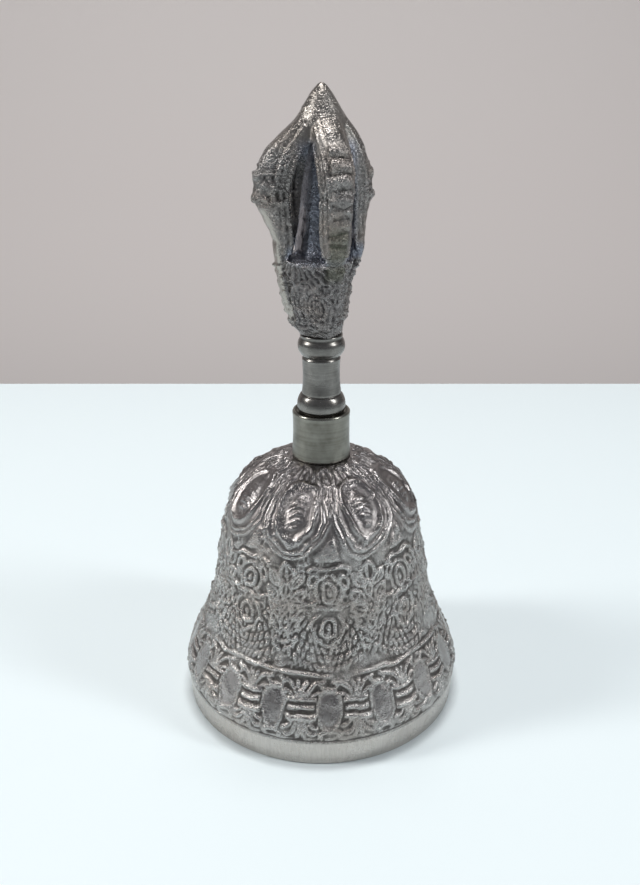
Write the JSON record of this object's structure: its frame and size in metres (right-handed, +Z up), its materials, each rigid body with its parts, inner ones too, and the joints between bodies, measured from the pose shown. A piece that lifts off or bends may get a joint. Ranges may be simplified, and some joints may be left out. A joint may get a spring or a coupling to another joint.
{
  "type": "tibetan hand bell",
  "caption": "Cast ritual hand bell with a half-vajra handle on a turned spindle and collar, held by an eye bolt, and a hanging clapper that swings on a wire link.",
  "frame": {"origin": "on the bell's axis, in the plane of its rim", "axes": "+Z up the axis, from the rim to the tip of the handle; the front prong of the handle is turned 20 degrees from -Y towards +X"},
  "size_m": [0.0678, 0.0678, 0.1426],
  "materials": {
    "bell_metal": "patinated",
    "collar_metal": "turned satin",
    "spindle_metal": "turned satin",
    "head_metal": "patinated",
    "steel": "satin",
    "striker_metal": "dull"
  },
  "bodies": {
    "bell": {"bell_cup": "bell_metal", "collar": "collar_metal", "spindle": "spindle_metal", "vajra_head": "head_metal", "eye_bolt": "steel", "crown_washer": "steel", "crown_nut": "steel"},
    "link": {"clapper_link": "steel"},
    "clapper": {"clapper_rod": "steel", "striker": "striker_metal"}
  },
  "joints": [
    {"name": "link_swing", "type": "hinge", "parent": "bell", "child": "link", "pos_m": [0, 0, 0.0444], "axis": [1, 0, 0], "range_deg": [-30.8, 30.8]},
    {"name": "clapper_swing", "type": "hinge", "parent": "link", "child": "clapper", "pos_m": [0, 0, 0.03896], "axis": [0, 1, 0], "range_deg": [-30.8, 30.8]}
  ]
}
